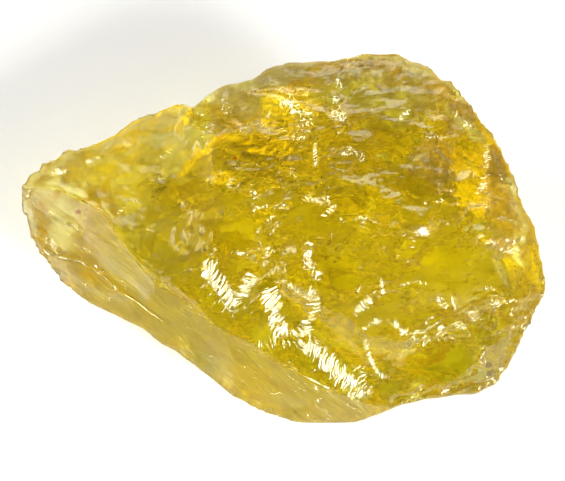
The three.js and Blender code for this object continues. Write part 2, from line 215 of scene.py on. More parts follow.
# Bands of feathery hackles: the line along the middle, the width and how dense they are.
HACKLE_BANDS = [
    ([(-7.5, -3.0), (-6.6, -4.2), (-5.6, -5.4), (-5.0, -6.5)], 1.8, 1.0),
    ([(-5.0, -6.5), (-4.1, -5.3), (-3.1, -4.1)], 1.1, 0.9),
    ([(-7.7, -4.5), (-6.7, -6.2), (-5.3, -7.6)], 1.4, 0.45),
    ([(-1.3, -5.5), (-1.0, -7.2), (-0.3, -9.0)], 1.6, 1.0),
    ([(-0.3, -9.2), (0.9, -9.4), (2.1, -9.2)], 0.8, 0.9),
    ([(2.1, -9.0), (2.9, -7.6), (3.2, -6.0), (2.8, -5.2)], 1.1, 0.8),
    ([(-1.7, -10.2), (0.7, -10.7), (3.5, -10.3)], 1.6, 0.5),
    ([(2.3, -10.4), (3.7, -11.5), (5.2, -13.2), (7.2, -15.2)], 1.8, 1.0),
    ([(7.4, -12.8), (8.2, -14.9)], 1.2, 0.55),
    ([(8.1, -10.2), (8.4, -11.5), (9.4, -13.4), (10.5, -13.7)], 0.4, 0.8),
    ([(7.8, -9.2), (8.7, -8.3), (10.0, -8.1), (11.2, -8.4)], 0.5, 0.6),
    ([(11.2, -8.4), (11.9, -9.2)], 0.7, 0.75),
    ([(7.4, -7.0), (8.3, -6.3)], 0.8, 0.75),
    ([(9.6, -4.0), (9.7, -5.2)], 0.4, 0.8),
    ([(-0.1, -4.2), (1.3, -5.2), (2.8, -6.3)], 0.2, 0.8),
    ([(0.7, -4.6), (1.6, -5.4)], 0.4, 0.8),
    ([(-2.8, 2.8), (-1.5, 3.2)], 0.4, 0.8),
    ([(2.2, 3.8), (4.3, 3.9), (4.9, 3.1), (3.9, 2.1)], 0.5, 0.8),
    ([(3.2, 9.6), (3.2, 7.3)], 0.4, 0.8),
    ([(-24.1, 0.2), (-22.9, -0.8)], 1.1, 0.6),
    ([(-23.5, -1.3), (-22.3, -1.1)], 0.8, 0.6),
    ([(-21.3, 1.2), (-20.1, 0.6)], 0.6, 0.6),
    ([(-25.3, 5.2), (-25.2, 4.2)], 0.5, 0.5),
    ([(20.4, 9.1), (20.2, 6.8)], 0.7, 0.6),
    ([(20.1, 6.0), (19.5, 4.4)], 0.9, 0.7),
    ([(-22.9, 6.6), (-21.7, 6.8)], 0.5, 0.8),
    ([(-19.6, 8.0), (-18.6, 8.4)], 0.5, 0.8),
    ([(-12.6, 7.8), (-11.2, 9.0)], 0.4, 0.5),
    ([(-16.3, 2.6), (-15.0, 3.6), (-13.7, 3.4)], 0.4, 0.6),
    ([(12.6, -0.6), (13.1, 0.5), (14.1, 0.7)], 0.7, 0.7),
    ([(13.1, 17.3), (13.4, 15.8)], 0.5, 0.5),
    ([(17.1, 12.6), (17.7, 12.0), (18.6, 11.0)], 0.5, 0.6),
    ([(11.6, -4.7), (12.9, -4.2), (14.2, -4.5)], 0.3, 0.6),
    ([(6.9, -15.3), (7.9, -13.8)], 0.4, 0.5),
    ([(14.0, 3.4), (15.7, 3.8)], 0.3, 0.7),
]
# Clusters of crinkled cleavage steps, given the same way.
CRINKLE_BANDS = [
    ([(0.2, 13.5), (1.7, 13.0), (2.2, 11.6), (1.7, 10.3)], 2.0, 0.95),
    ([(5.3, 13.8), (5.0, 12.5), (5.8, 12.0)], 1.6, 0.85),
    ([(-0.2, 15.2), (0.7, 14.2)], 0.7, 0.7),
    ([(5.5, 15.8), (5.8, 15.0)], 0.7, 0.8),
    ([(-5.9, 13.5), (-5.5, 12.8)], 0.9, 0.7),
    ([(-7.7, 10.4), (-7.1, 11.2)], 0.9, 0.9),
    ([(-8.5, 12.5), (-7.9, 12.2)], 0.6, 0.6),
    ([(-4.0, 10.8), (-2.0, 11.6)], 1.0, 0.7),
    ([(-1.9, 10.4), (-1.5, 9.8)], 0.6, 0.6),
    ([(5.3, 8.4), (6.9, 8.8), (7.9, 8.0)], 1.2, 0.7),
    ([(8.9, 12.8), (9.3, 12.4)], 0.7, 0.7),
    ([(11.7, 12.0), (12.5, 12.6)], 0.9, 0.7),
    ([(14.4, 10.0), (15.3, 10.2)], 0.8, 0.7),
    ([(-4.9, 7.2), (-4.0, 6.8)], 0.9, 0.6),
    ([(-1.5, 7.0), (-0.3, 6.6)], 0.8, 0.5),
    ([(0.8, 6.8), (1.5, 5.2)], 0.9, 0.6),
    ([(-3.1, 4.8), (-2.7, 4.2)], 0.7, 0.9),
    ([(-0.7, 3.3), (0.4, 3.0)], 0.8, 0.7),
    ([(-0.8, 2.3), (-2.5, 0.8), (-2.4, -1.7)], 0.3, 0.8),
    ([(0.4, 2.0), (-1.5, 0.3)], 0.3, 0.7),
    ([(-2.1, -1.9), (-1.1, -1.2), (-0.1, -1.1)], 0.5, 0.7),
    ([(-5.1, -1.4), (-3.7, -1.6), (-2.6, -2.4)], 0.4, 0.7),
    ([(-7.1, -1.6), (-6.6, -2.4)], 0.7, 0.6),
    ([(2.3, -0.7), (2.3, -2.4), (3.5, -3.7)], 1.0, 0.85),
    ([(4.2, 0.6), (4.9, 0.2)], 0.6, 0.6),
    ([(5.4, 2.0), (5.8, 1.7)], 0.6, 0.7),
    ([(6.9, 2.1), (8.3, 2.0), (7.8, 1.2)], 0.6, 0.7),
    ([(9.0, 1.6), (9.5, 1.4)], 0.5, 0.7),
    ([(10.4, -1.8), (12.2, -2.4), (13.7, -2.0)], 0.6, 0.4),
    ([(11.2, -8.4), (11.9, -9.2)], 0.7, 0.6),
    ([(15.2, -5.2), (16.9, -4.6), (18.7, -5.0)], 1.0, 0.42),
    ([(13.7, -6.7), (15.7, -6.2), (18.7, -6.7)], 0.8, 0.4),
    ([(15.4, -5.9), (15.9, -6.7)], 0.8, 0.7),
    ([(16.9, -8.2), (18.7, -7.4), (19.9, -6.8)], 0.6, 0.4),
    ([(14.9, -9.4), (16.3, -9.8)], 0.8, 0.4),
    ([(11.0, -8.7), (11.7, -9.2)], 0.8, 0.8),
    ([(9.7, -16.2), (12.1, -11.2)], 0.4, 0.4),
    ([(10.5, -13.4), (11.5, -12.0), (12.1, -11.0)], 0.5, 0.6),
    ([(14.7, 2.4), (16.2, 1.6)], 0.9, 0.5),
    ([(21.2, -0.7), (21.9, -1.4)], 0.8, 0.6),
    ([(21.7, 6.2), (22.5, 5.6)], 0.7, 0.6),
    ([(18.1, 12.0), (18.9, 11.0)], 0.7, 0.7),
    ([(16.0, 13.8), (16.9, 12.6)], 0.8, 0.4),
    ([(17.2, 7.8), (18.7, 8.8)], 0.8, 0.5),
    ([(13.2, 8.8), (15.7, 7.3)], 1.4, 0.45),
    ([(16.2, 6.8), (16.9, 5.0)], 1.0, 0.45),
    ([(-13.3, 1.0), (-12.5, 0.6)], 0.6, 0.5),
    ([(-18.8, 7.0), (-17.9, 6.8)], 0.5, 0.5),
    ([(-10.3, 4.3), (-9.5, 2.3)], 1.0, 0.4),
    ([(-16.5, 0.3), (-14.3, 1.6)], 1.4, 0.4),
    ([(-11.1, -3.2), (-9.3, -4.2)], 1.0, 0.5),
]
# The fine second ridge that runs down the smooth bevel.
BEVEL_RIDGE = [
    (-22.3, -1.9), (-20.2, -2.3), (-19.0, -3.0), (-17.8, -3.8), (-15.9, -5.5), (-14.5, -6.3),
    (-13.4, -7.2), (-12.0, -8.2),
]
# The ridge between the smooth bevel and the rough upper face.
MAIN_RIDGE = [
    (-25.8, 5.1), (-22.3, 4.9), (-20.0, 3.7), (-17.9, 2.6), (-16.7, 0.7), (-15.3, -1.4),
    (-12.6, -4.6), (-11.1, -5.3), (-8.3, -7.5), (-4.6, -10.1), (1.7, -13.4), (4.5, -14.8),
]
# Worn ridges and polished places that shine evenly, given the way the bands are.
BRIGHT_BANDS = [
    (BEVEL_RIDGE, 0.2, 0.7),
    (MAIN_RIDGE, 0.16, 0.6),
    ([(-24.1, 0.4), (-22.7, -1.0)], 1.0, 0.6),
    ([(-21.3, 1.3), (-20.1, 0.5)], 0.5, 0.6),
    ([(-25.3, 5.2), (-25.2, 4.2)], 0.4, 0.5),
]
# Smooth windows on to the stone's depth: middle, half width, half height and light passed, which
# is painted shade below 1 and, at the lemon facet above 1, painted light.
WINDOWS = [
    ((-3.0, 9.0), 2.4, 1.3, 0.55), ((11.6, 10.2), 2.6, 1.6, 0.75),
    ((13.0, 4.8), 1.8, 1.2, 0.75), ((18.4, 7.4), 1.6, 2.2, 0.8), ((-5.0, 0.4), 2.0, 1.8, 1.0),
    ((-10.0, 4.8), 3.2, 1.6, 0.75), ((7.4, 3.6), 2.6, 1.5, 1.0),
    ((16.0, -2.0), 2.4, 0.9, 1.0), ((5.0, -3.8), 2.2, 1.8, 1.0), ((-1.2, -4.6), 1.8, 1.2, 0.9),
    ((14.8, -12.1), 3.2, 1.7, 1.08),
]
# Pale crumpled patches, given the same way.
PALE_PATCHES = [
    ((10.5, 16.4), 3.2, 1.7, 0.78), ((14.3, 14.8), 2.2, 2.0, 0.85), ((17.6, 12.2), 1.6, 1.8, 0.9),
    ((-5.0, 12.6), 2.8, 2.4, 0.85), ((2.0, 16.8), 6.5, 1.6, 0.78), ((21.5, 7.0), 1.6, 3.2, 0.95),
    ((22.8, 1.6), 2.4, 3.6, 0.9), ((15.0, 7.5), 2.2, 2.6, 0.95),
]
# Painted shade: places where the tint lets less light through the golden face, given the same
# way.
PAINTED_SHADE_ZONES = [
    ((2.0, 11.0), 9.0, 6.5, 0.74), ((-9.5, 6.0), 5.0, 3.5, 0.92), ((18.5, 8.0), 4.0, 5.0, 0.76),
    ((10.5, 13.4), 4.5, 2.2, 0.6), ((-13.2, 8.6), 1.4, 1.2, 0.75), ((22.5, -7.0), 3.5, 4.5, 0.75),
    ((0.0, 16.5), 8.0, 2.5, 0.8), ((-3.0, 8.6), 5.0, 3.0, 0.8),
]
# Where the net is moved to the drawing's outline: middle, reach, and the move right and up.
OUTLINE_SHIFTS = [
    ((-25.6, 2.4), 2.0, (-0.5, 0.0)),
    ((-18.5, 9.9), 3.5, (0.2, -0.4)),
]
OUTWARD = 0.3  # mm that rounding the net takes off the outline
# Specks in the stone: middle, half width, half height and the colour passed.
SPECKS = [
    ((-20.4, 2.6), 0.3, 0.24, (0.42, 0.1, 0.04)),
    ((-4.8, 8.0), 0.25, 0.2, (0.6, 0.1, 0.05)),
    ((-7.8, -1.1), 0.2, 0.2, (0.2, 0.13, 0.05)),
    ((20.4, -12.6), 0.35, 0.3, (0.25, 0.15, 0.08)),
    ((20.4, -13.4), 0.3, 0.3, (0.25, 0.15, 0.08)),
]

# Regions of the drawing, in mm.
SMOOTH_BEVEL = [
    (-26.5, 5.2), *MAIN_RIDGE[1:], (9.4, -16.8), (4.0, -20.0), (-4.0, -17.5), (-12.0, -11.5),
    (-22.0, -6.5), (-27.0, 0.0),
]
SHOULDER = [
    (-27.0, 5.2), (-22.3, 4.9), (-17.9, 2.6), (-15.3, -1.4), (-12.0, -4.8), (-8.4, -2.6),
    (-5.4, 2.4), (-6.4, 6.0), (-9.2, 12.8), (-14.0, 13.5), (-24.0, 9.0),
]
LOWER_SCOOPS = [
    (-12.5, -4.8), (-8.4, -2.6), (-3.0, -2.4), (2.0, -4.0), (5.0, -8.0), (9.0, -10.0),
    (12.5, -9.6), (13.0, -14.5), (9.4, -16.8), (4.5, -14.8), (-4.6, -10.1), (-8.3, -7.5),
]
LEMON_FACET = [(12.0, -10.6), (18.2, -10.6), (18.4, -13.4), (14.6, -14.6), (12.2, -13.8)]
# Each with how deep inside its outline it starts and is whole.
REGIONS = {
    "bevel": (SMOOTH_BEVEL, -0.3, 0.5),
    "shoulder": (SHOULDER, -1.5, 1.5),
    "scoops": (LOWER_SCOOPS, -0.8, 0.8),
    "lemon": (LEMON_FACET, -0.4, 0.6),
}
# The lower part of the block on the right: middle, half width and half height.
LOWER_BLOCK = ((14.0, -6.0), 11.0, 7.0)
# Where their looks come in, as minus the way from the middle, which is 1 at the half width.
PATCH_EDGE = (-1.4, -0.7)
SPECK_EDGE = (-1.3, -0.7)
BLOCK_EDGE = (-1.2, -0.7)


class Noise:
    """Smooth noise, about -1 to 1, from slopes at the corners of a lattice."""

    CORNERS = 256
    STRENGTH = 1.6

    def __init__(self, seed):
        random = np.random.default_rng(seed)
        self.order = random.permutation(self.CORNERS)
        slopes = random.normal(size=(self.CORNERS, 3))
        self.slopes = slopes / np.linalg.norm(slopes, axis=1, keepdims=True)

    def __call__(self, points):
        cell = np.floor(points).astype(int)
        part = points - cell
        fade = part ** 3 * (part * (6 * part - 15) + 10)
        total = np.zeros(len(points))
        for corner in itertools.product((0, 1), repeat=3):
            index = np.zeros(len(points), dtype=int)
            weight = np.ones(len(points))
            for axis in range(3):
                index = self.order[(index + cell[:, axis] + corner[axis]) % self.CORNERS]
                weight *= fade[:, axis] if corner[axis] else 1 - fade[:, axis]
            total += weight * np.einsum("ij,ij->i", self.slopes[index], part - corner)
        return self.STRENGTH * total


def layered(name, points):
    """Named noise, with finer and weaker layers added."""
    seed, strength, grain, layers, gain = NOISES[name]
    noise = Noise(seed)
    total = np.zeros(len(points))
    for layer in range(layers):
        total += gain ** layer * noise(points * grain * 2 ** layer + 17.0 * layer)
    return strength * total


def folds(name, points):
    """Named noise as folds, which are deep except at sharp crests."""
    seed, strength, grain, layers, gain = NOISES[name]
    noise = Noise(seed)
    total = np.zeros(len(points))
    for layer in range(layers):
        crests = 1 - np.abs(noise(points * grain * 2 ** layer + 31.0 * layer))
        total += gain ** layer * crests
    return strength * (1 - total / sum(gain ** layer for layer in range(layers)))


def ramp(values, low, high):
    """0 up to low, 1 from high, and smooth between."""
    share = np.clip((values - low) / (high - low), 0, 1)
    return share * share * (3 - 2 * share)


def sheet(right, up):
    """Places in the drawing as points."""
    return np.stack((right, up, right * 0), 1)


def along_and_across(right, up, way):
    """How far places in the drawing are along a way and across it."""
    return right * way[0] + up * way[1], up * way[0] - right * way[1]


def beside(start, end, right, up):
    """The gap from places to a straight line, how far along it they are, and their side."""
    along_x, along_y = end[0] - start[0], end[1] - start[1]
    over, rise = right - start[0], up - start[1]
    length = math.hypot(along_x, along_y)
    share = (over * along_x + rise * along_y) / length ** 2
    held = np.clip(share, 0, 1)
    gap = np.hypot(start[0] + held * along_x - right, start[1] + held * along_y - up)
    return gap, share * length, np.sign(rise * along_x - over * along_y)


def depth_inside(outline, right, up):
    """How far places are inside a closed outline, or minus the gap outside it."""
    nearest = np.full(len(right), FAR)
    inside = np.zeros(len(right), dtype=bool)
    for start, end in zip(outline, outline[1:] + outline[:1]):
        nearest = np.minimum(nearest, beside(start, end, right, up)[0])
        if start[1] != end[1]:
            slant = (end[0] - start[0]) * (up - start[1]) / (end[1] - start[1])
            inside ^= ((start[1] > up) != (end[1] > up)) & (right < start[0] + slant)
    return np.where(inside, nearest, -nearest)


def band_depth(line, width, right, up):
    """How far places are inside a band along a line, or minus the gap outside it, how far
    along it they are and on which side of the line, 1 or -1."""
    nearest = np.full(np.shape(right), FAR)
    along = np.zeros(np.shape(right))
    side = np.ones(np.shape(right))
    passed = 0.0
    for start, end in zip(line, line[1:]):
        gap, here, turn = beside(start, end, right, up)
        nearer = gap < nearest
        nearest = np.where(nearer, gap, nearest)
        along = np.where(nearer, passed + here, along)
        side = np.where(nearer, turn, side)
        passed += math.dist(start, end)
    return width / 2 - nearest, along, side


def band_mask(bands, right, up, ragged):
    """How much each place is in one of the bands, 0 to 1."""
    mask = np.zeros_like(right)
    for line, width, density in bands:
        inside = band_depth(line, width, right, up)[0]
        soft = 0.7 * min(1, width)
        core = max(width / 2, 0.7 * soft)
        mask = np.maximum(mask, density * ramp(inside + ragged * soft, -soft, core))
    return mask


def gone_from(middle, half_width, half_height, right, up):
    """How far places are from an ellipse's middle: 1 on the ellipse itself."""
    return np.hypot((right - middle[0]) / half_width, (up - middle[1]) / half_height)


def in_patches(patches, right, up):
    """How much each place is in one of the patches, 0 to 1, and how much light it passes."""
    held = np.zeros(len(right))
    passes = np.ones(len(right))
    ragged = layered("ragged patches", sheet(right, up))
    for middle, half_width, half_height, light in patches:
        gone = gone_from(middle, half_width, half_height, right, up)
        here = ramp(-gone - ragged, *PATCH_EDGE)
        held = np.maximum(held, here)
        passes *= 1 + here * (light - 1)
    return held, passes


def make_camera():
    camera = bpy.data.objects.new("Camera", bpy.data.cameras.new("Camera"))
    bpy.context.scene.collection.objects.link(camera)
    camera.location = CAMERA_AIM + Vector(TOWARD) * CAMERA_DISTANCE
    camera.rotation_euler = (math.pi / 2 - LOOKING_DOWN, 0, 0)
    camera.data.sensor_width = SENSOR_WIDTH
    camera.data.lens = LENS
    camera.data.clip_start = CLIP_START
    bpy.context.scene.camera = camera


def read_rows(items, field, width, kind=float):
    rows = np.empty(width * len(items), dtype=kind)
    items.foreach_get(field, rows)
    return rows.reshape(-1, width)


def read_edges(mesh):
    return read_rows(mesh.edges, "vertices", 2, int)


def read_points(mesh):
    """The mesh's points, in mm."""
    return read_rows(mesh.vertices, "co", 3) / MM


def read_normals(mesh):
    return read_rows(mesh.vertex_normals, "vector", 3)


def write_points(mesh, points):
    mesh.vertices.foreach_set("co", (points * MM).ravel())
    mesh.update()


def write_layer(mesh, name, kind, field, values):
    """Gives the mesh a value at each point, under a name."""
    layer = mesh.attributes.new(name, kind, "POINT")
    layer.data.foreach_set(field, values.astype(np.float32).ravel())


def in_drawing(points):
    """Where points are in the drawing, right and up, in mm."""
    up = points @ UP
    return points @ RIGHT, up - up.max() + DRAWING_TOP


def even_net(node):
    """A copy of the node's shape as a net of small squares."""
    coarse = bpy.data.objects.new("coarse", node.data.copy())
    bpy.context.scene.collection.objects.link(coarse)
    weld = coarse.modifiers.new("Weld", "WELD")
    weld.merge_threshold = WELD
    remesh = coarse.modifiers.new("Remesh", "REMESH")
    remesh.mode = "VOXEL"
    remesh.voxel_size = NET
    shaped = coarse.evaluated_get(bpy.context.evaluated_depsgraph_get())
    mesh = bpy.data.meshes.new_from_object(shaped)
    bpy.data.objects.remove(coarse)
    mesh.name = "topaz_crystal"
    mesh.materials.clear()
    return mesh


def halve(mesh, chosen):
    """Splits the squares that the chosen edges bound into four."""
    fine = bmesh.new()
    fine.from_mesh(mesh)
    edges = [edge for edge, wanted in zip(fine.edges, chosen) if wanted]
    bmesh.ops.subdivide_edges(fine, edges=edges, cuts=1, use_grid_fill=True)
    fine.to_mesh(mesh)
    fine.free()


def fine_places(right, up):
    """How far places are inside the nearest band, ridge or speck, or minus the gap outside."""
    lines = [(line, width) for line, width, _ in HACKLE_BANDS]
    lines += [(BEVEL_RIDGE, RIDGE_WIDTH), (MAIN_RIDGE, RIDGE_WIDTH)]
    inside = np.full(len(right), -FAR)
    for line, width in lines:
        inside = np.maximum(inside, band_depth(line, width, right, up)[0])
    for middle, half_width, _, _ in SPECKS:
        gone = gone_from(middle, 1, 1, right, up)
        inside = np.maximum(inside, half_width + SPECK_MARGIN - gone)
    return inside


def refine(mesh):
    """Makes the net finer where the drawing shows the stone, and finest at its fine places."""
    for finest in (False, True):
        right, up = in_drawing(read_points(mesh))
        wanted = read_normals(mesh) @ TOWARD > SEEN_WELL[0]
        if finest:
            wanted &= fine_places(right, up) > -FINE_MARGIN
        halve(mesh, wanted[read_edges(mesh)].all(axis=1))


def soften(mesh, points, rounds, share):
    """Moves each point part of the way to the middle of its neighbours."""
    first, second = read_edges(mesh).T
    count = np.bincount(np.concatenate((first, second)), minlength=len(points))[:, None]
    for _ in range(rounds):
        total = np.zeros_like(points)
        for axis in range(3):
            total[:, axis] = (
                np.bincount(first, points[second, axis], len(points))
                + np.bincount(second, points[first, axis], len(points))
            )
        points = points + SOFTENING * share[:, None] * (total / count - points)
    return points


def way_to(azimuth, elevation):
    """The way to a place round the stone. Azimuth 0 is in front."""
    turn = math.radians(azimuth)
    lift = math.radians(elevation)
    return np.array((
        math.sin(turn) * math.cos(lift), -math.cos(turn) * math.cos(lift), math.sin(lift),
    ))


def mirror_way(light):
    """The way that a face looks if the camera sees the named light mirrored in it."""
    azimuth, elevation = LIGHTS[light][:2]
    half = way_to(azimuth, elevation) + TOWARD
    return half / np.linalg.norm(half)


def waves(grid):
    """How fast each of a grid's waves goes up and right, per mm."""
    up_waves = 2 * np.pi * np.fft.fftfreq(grid.shape[0], CELL)[:, None]
    right_waves = 2 * np.pi * np.fft.fftfreq(grid.shape[1], CELL)[None, :]
    return up_waves, right_waves


def blur(grid, spread):
    """The grid, blurred over a spread in mm."""
    up_waves, right_waves = waves(grid)
    keep = np.exp(-0.5 * spread ** 2 * (up_waves ** 2 + right_waves ** 2))
    return np.fft.ifft2(np.fft.fft2(grid) * keep).real


def settle(slope_right, slope_up, reach):
    """The relief with slopes nearest to those asked for, sinking to nothing past a reach."""
    up_waves, right_waves = waves(slope_up)
    pull = right_waves * np.fft.fft2(slope_right) + up_waves * np.fft.fft2(slope_up)
    stiffness = right_waves ** 2 + up_waves ** 2 + 1 / reach ** 2
    return np.fft.ifft2(-1j * pull / stiffness).real


def cell_of(right, up):
    """The row and column of the drawing's grid that places are in."""
    column = np.clip(((right - GRID_RIGHT[0]) / CELL).round().astype(int), 0, len(GRID_RIGHT) - 1)
    row = np.clip(((up - GRID_UP[0]) / CELL).round().astype(int), 0, len(GRID_UP) - 1)
    return row, column


def read_grid(grid, right, up):
    """The grid's value at each place, evened out between its cells."""
    column = np.clip((right - GRID_RIGHT[0]) / CELL, 0, len(GRID_RIGHT) - 1.001)
    row = np.clip((up - GRID_UP[0]) / CELL, 0, len(GRID_UP) - 1.001)
    left, low = column.astype(int), row.astype(int)
    over, rise = column - left, row - low
    return (
        grid[low, left] * (1 - over) * (1 - rise) + grid[low, left + 1] * over * (1 - rise)
        + grid[low + 1, left] * (1 - over) * rise + grid[low + 1, left + 1] * over * rise
    )


def inside_outline(right, up):
    """0 at the edge of the stone in the drawing, rising to 1 inside it."""
    row, column = cell_of(right, up)
    coarse = np.zeros((len(GRID_UP) // COARSE, len(GRID_RIGHT) // COARSE))
    coarse[row // COARSE, column // COARSE] = 1
    filled = np.kron(coarse, np.ones((COARSE, COARSE)))
    return ramp(read_grid(blur(filled, OUTLINE_BLUR), right, up), 0.6, 0.97)


def fit_outline(points, normals, right, up):
    """The points, moved out to where the drawing has the stone's outline."""
    facing = normals @ TOWARD
    sideways = normals - facing[:, None] * TOWARD
    points = points + OUTWARD * (1 - inside_outline(right, up))[:, None] * sideways
    for middle, reach, (move_right, move_up) in OUTLINE_SHIFTS:
        gone = gone_from(middle, reach, reach, right, up)
        points = points + np.exp(-gone ** 2)[:, None] * (move_right * RIGHT + move_up * UP)
    return points


def read_thickness(mesh, points, normals):
    """How far it is through the stone from each point, in mm."""
    tree = BVHTree.FromPolygons(
        [Vector(point) for point in points], [tuple(face.vertices) for face in mesh.polygons],
    )
    start = points - RAY_START * normals
    gaps = np.full(len(points), THICKEST)
    for index in range(len(points)):
        gap = tree.ray_cast(Vector(start[index]), Vector(-normals[index]))[3]
        if gap is not None:
            gaps[index] = gap
    return gaps


def round_off(mesh, points, thickness, right, up):
    """The points, with smooth breaks and windows rounded and the drawing's outline met."""
    normals = read_normals(mesh)
    seen = ramp(normals @ TOWARD, *SEEN)
    inner = inside_outline(right, up)
    solid = inner * ramp(thickness, *SOLID)
    from_ridge = ramp(np.abs(depth_inside(SMOOTH_BEVEL, right, up)), *SHARP_RIDGE)
    broken = LEAST_SOFTENING + (1 - LEAST_SOFTENING) * from_ridge * seen * solid
    points = soften(mesh, points, SOFTENING_ROUNDS, broken)
    window = in_patches(WINDOWS, right, up)[0] * seen * solid
    points = soften(mesh, points, WINDOW_ROUNDS, window)
    points = fit_outline(points, normals, right, up)
    points = soften(mesh, points, OUTLINE_ROUNDS, 0.5 * (1 - inner))
    write_points(mesh, points)
    return points


def surface_lean(points, normals, right, up):
    """How steeply the shown surface rises to the right and up, in each cell of the grid."""
    facing = normals @ TOWARD
    depth = points @ TOWARD
    row, column = cell_of(right, up)
    front = np.full((len(GRID_UP), len(GRID_RIGHT)), -FAR)
    place = row // COARSE, column // COARSE
    np.maximum.at(front, place, depth)
    in_front = depth > front[place] - FRONT_LAYER
    weight = np.where((facing > SEEN_WELL[0]) & in_front, facing, 0)
    turned = np.maximum(facing, STEEPEST)
    sums = []
    for value in (1, -(normals @ RIGHT) / turned, -(normals @ UP) / turned):
        total = np.zeros_like(front)
        np.add.at(total, (row, column), weight * value)
        sums.append(blur(total, LEAN_BLUR))
    count = np.maximum(sums[0], 1e-4)
    return sums[1] / count, sums[2] / count


def cleavage(points, normals, right, up):
    """How far each point stands out towards the camera for the bands of hackles, and how much
    it is in one, and in a crinkled cluster."""
    lean_right, lean_up = surface_lean(points, normals, right, up)
    half = mirror_way("key")
    want_right = -(half @ RIGHT) / (half @ TOWARD)
    want_up = -(half @ UP) / (half @ TOWARD)
    across, over = np.meshgrid(GRID_RIGHT, GRID_UP)
    flat = sheet(across.ravel(), over.ravel())
    ragged, waver_right, waver_up = (
        layered(name, flat).reshape(across.shape)
        for name in ("ragged bands", "waver right", "waver up")
    )
    mask = band_mask(HACKLE_BANDS, across, over, ragged)
    crinkled = band_mask(CRINKLE_BANDS, across, over, ragged)
    relief = settle(
        mask * (want_right - lean_right + waver_right),
        mask * (want_up - lean_up + waver_up),
        STEP_REACH,
    )
    seen_well = ramp(normals @ TOWARD, *SEEN_WELL)
    return [read_grid(grid, right, up) * seen_well for grid in (relief, mask, crinkled)]


def turn_away(normals, light, reach, strength):
    """What is added to the normals of faces that would mirror a light within a reach, so that
    mostly the cleavage steps and worn ridges flash."""
    half = mirror_way(light)
    away = TOWARD - (TOWARD @ half) * half
    away /= np.linalg.norm(away)
    nearness = ramp(normals @ half, math.cos(reach), math.cos(WHOLE_TURN * reach))
    side = np.clip((normals @ away - TURN_SPLIT) / TURN_BLEND, -1, 1)
    return (strength * nearness * side)[:, None] * away


def hackle_places(right, up):
    """Where points are for the fine grooves: along the nearest band, and across it."""
    nearest = np.full(len(right), -FAR)
    places = np.zeros((len(right), 3))
    wander = layered("hackle wander", sheet(right, up))
    for number, (line, width, _) in enumerate(HACKLE_BANDS):
        inside, along, side = band_depth(line, width, right, up)
        nearer = inside > nearest
        nearest = np.where(nearer, inside, nearest)
        across = HACKLE_SLANT * side * (width / 2 - inside)
        slant = along + across + wander
        here = np.stack((slant / HACKLE, across, np.full(len(right), HACKLE_APART * number)), 1)
        places = np.where(nearer[:, None], here, places)
    return places


def survey(points, normals, thickness, right, up):
    """What the stone is like at each point. Kinds of places are shares, 0 to 1."""
    facing = normals @ TOWARD
    at = SimpleNamespace(points=points, thickness=thickness, right=right, up=up)
    at.on_ledges = along_and_across(right, up, LEDGE_WAY)
    at.on_ribs = along_and_across(right, up, RIB_WAY)
    at.seen_well = ramp(facing, *SEEN_WELL)
    at.hidden = ramp(-facing, *HIDDEN)
    at.under = ramp(-normals[:, 2], *DOWNWARD)
    at.inner = inside_outline(right, up)
    at.lower = ramp(-gone_from(*LOWER_BLOCK, right, up), *BLOCK_EDGE)
    seen = ramp(facing, *SEEN)
    for name, (outline, start, whole) in REGIONS.items():
        setattr(at, name, ramp(depth_inside(outline, right, up), start, whole) * seen)
    window, passes = in_patches(WINDOWS, right, up)
    pale, pale_passes = in_patches(PALE_PATCHES, right, up)
    # Less light passed in the windows and painted shade zones is painted shade; more at the lemon
    # facet is painted light.
    passes = passes * pale_passes * in_patches(PAINTED_SHADE_ZONES, right, up)[1]
    at.passes = 1 + (passes - 1) * seen * (1 - at.bevel)
    at.pale = pale * seen * (1 - at.bevel)
    at.crumpled = np.maximum(at.shoulder, at.pale)
    at.clear = np.maximum(window * seen, at.lemon)
    at.rim = ramp(-thickness, *RIM) * (1 - 0.5 * at.bevel) * (1 - at.under)

    at.steps, at.stepped, at.crinkled = cleavage(points, normals, right, up)
    ragged = layered("ragged ridges", sheet(right, up))
    at.bright = band_mask(BRIGHT_BANDS, right, up, ragged) * at.seen_well
    smooth = np.clip(at.bevel + at.lemon + 0.8 * window * seen + at.stepped, 0, 1)
    patchy = ramp(layered("rough patches", points), -0.55, 0.45)
    patchy = np.maximum(patchy, np.maximum(at.pale, 0.8 * at.shoulder))
    ridge = 1 - ramp(depth_inside(SMOOTH_BEVEL, right, up), -0.9, -0.1) * seen
    at.rough = (1 - smooth) * (0.35 + 0.65 * patchy) * at.inner * np.maximum(ridge, at.bevel)
    return at


def ledge_rows(row, along, behind, seed, apart, middle, change, deep):
    """Rows of ledges, each rising from 0 to its height, which changes along it."""
    number = np.floor(row)
    noise = Noise(seed)(np.stack((along, number * apart, behind), 1))
    height = np.clip(middle + change * noise, 0, 1)
    return deep * height * (row - number)


def ledge_depth(at):
    """How deep ledges cut in, in mm. The rows out of sight are nearly level."""
    along, across = at.on_ledges
    lay = np.stack((along, across, at.points @ TOWARD), 1)
    shown = ledge_rows(
        across / LEDGE_ROW + layered("ledges", lay), along * 0.2, along * 0,
        seed=12, apart=3.1, middle=0.5, change=0.9, deep=0.42,
    )
    shown += ledge_rows(
        across / FINE_LEDGE_ROW + layered("fine ledges", lay), along * 0.5, along * 0,
        seed=14, apart=2.3, middle=0.35, change=1.1, deep=0.1,
    )
    x, y, z = at.points.T
    level = z / HIDDEN_LEDGE_ROW + HIDDEN_LEDGE_TILT * x
    hidden = ledge_rows(
        level + layered("hidden ledges", at.points), x * 0.2, y * 0.2,
        seed=19, apart=3.1, middle=0.5, change=0.9, deep=0.7 * at.hidden,
    )
    return shown * (1 - at.hidden) + hidden


